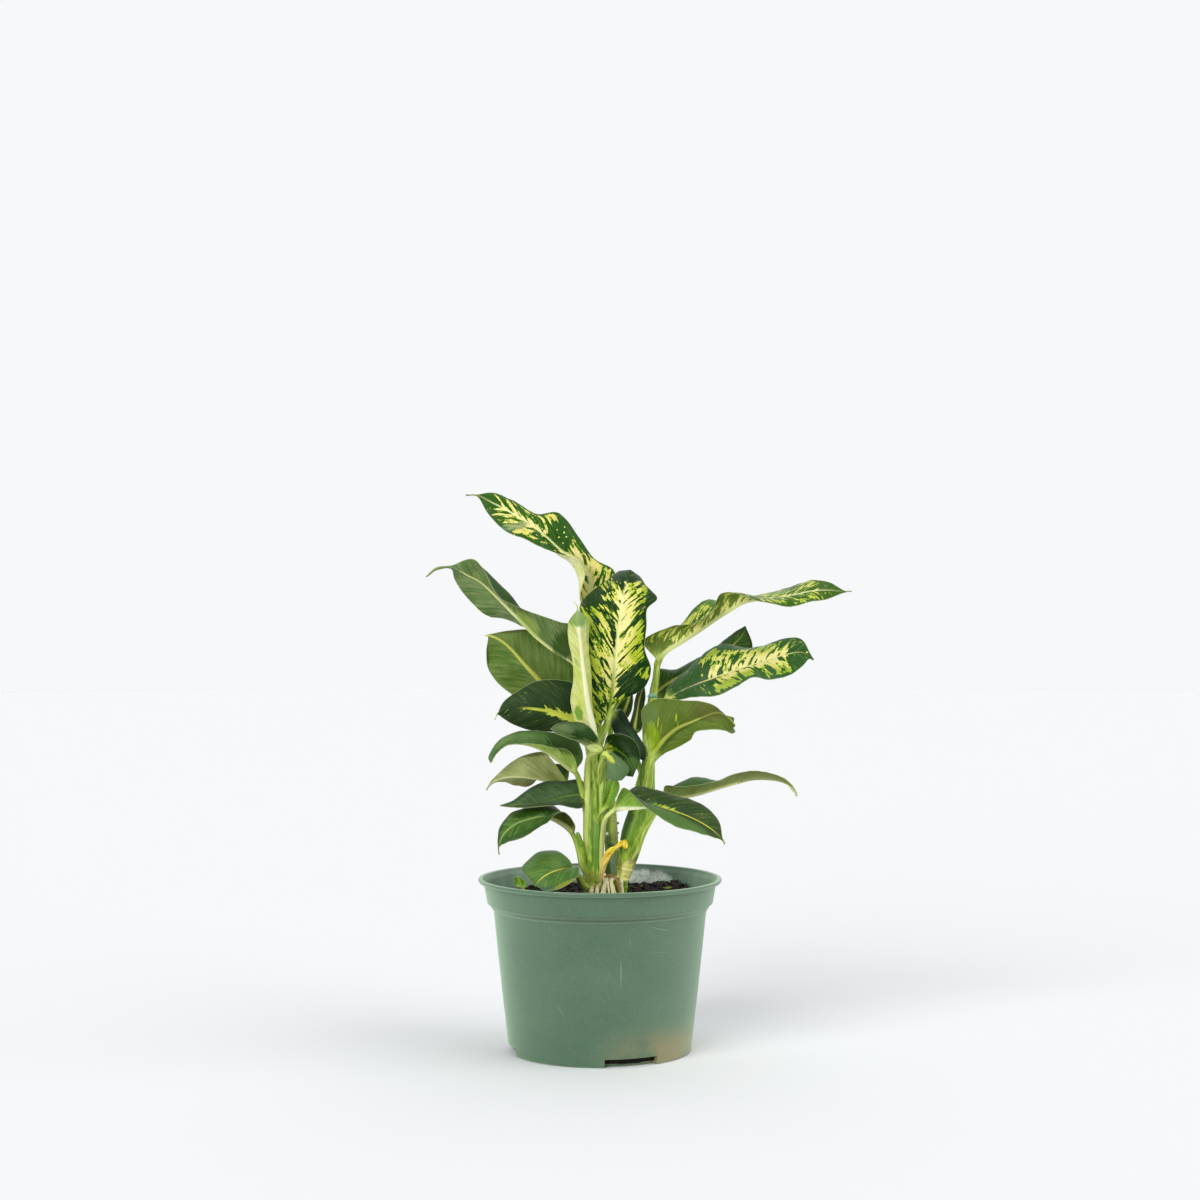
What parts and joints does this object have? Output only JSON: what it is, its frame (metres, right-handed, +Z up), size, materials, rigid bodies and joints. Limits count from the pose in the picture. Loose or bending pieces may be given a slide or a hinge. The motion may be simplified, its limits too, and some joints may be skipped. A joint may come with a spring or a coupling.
{
  "type": "potted dieffenbachia",
  "caption": "Dieffenbachia with broad, partly variegated leaves on upright stems, rooted in peat in a round green plastic nursery pot with a rolled rim.",
  "frame": {"origin": "middle of the flat underside of the pot", "axes": "+Z up along the pot's axis, -Y towards the front, +X to the right"},
  "size_m": [0.2831, 0.165, 0.3774],
  "materials": {
    "pot_plastic": "satin moulded polypropylene, grey green",
    "potting_soil": "rough damp peat",
    "stem_skin": "smooth living stem, semi-gloss",
    "leaf_variegated": "semi-gloss leaf, cream and yellow on green",
    "leaf_dark_green": "semi-gloss dark green leaf with yellow midrib",
    "leaf_olive": "satin olive underside with pale midrib",
    "root_skin": "matt fleshy root",
    "dry_sheath": "satin withered yellow sheath"
  },
  "bodies": {
    "root": {"pot": "pot_plastic", "stem_left": "stem_skin", "stem_middle": "stem_skin", "stem_right": "stem_skin", "root_a": "root_skin", "root_b": "root_skin", "root_c": "root_skin", "root_d": "root_skin", "root_e": "root_skin", "withered_sheath": "dry_sheath", "soil": "potting_soil", "leaf_01_top_left": "leaf_variegated", "leaf_02_left_upper": "leaf_olive", "leaf_03_left_middle": "leaf_olive", "leaf_04_left_dark": "leaf_dark_green", "leaf_05_left_arching": "leaf_dark_green", "leaf_06_left_brown": "leaf_olive", "leaf_07_left_low": "leaf_dark_green", "leaf_08_left_drooping": "leaf_dark_green", "leaf_09_resting": "leaf_dark_green", "leaf_10_centre": "leaf_variegated", "leaf_11_pale": "leaf_variegated", "leaf_12_dark_lobe": "leaf_dark_green", "leaf_13_round_dark": "leaf_dark_green", "leaf_14_blue_green": "leaf_dark_green", "leaf_15_right_top": "leaf_variegated", "leaf_16_right_middle": "leaf_variegated", "leaf_17_behind": "leaf_dark_green", "leaf_18_right_curled": "leaf_olive", "leaf_19_right_low": "leaf_olive", "leaf_20_front_right": "leaf_dark_green", "leaf_21_small_green": "leaf_olive", "leaf_22_new_shoot": "leaf_olive", "leaf_23_middle_back": "leaf_dark_green", "leaf_24_hanging": "leaf_dark_green", "leaf_25_hanging_lobe": "leaf_dark_green"}
  },
  "joints": []
}
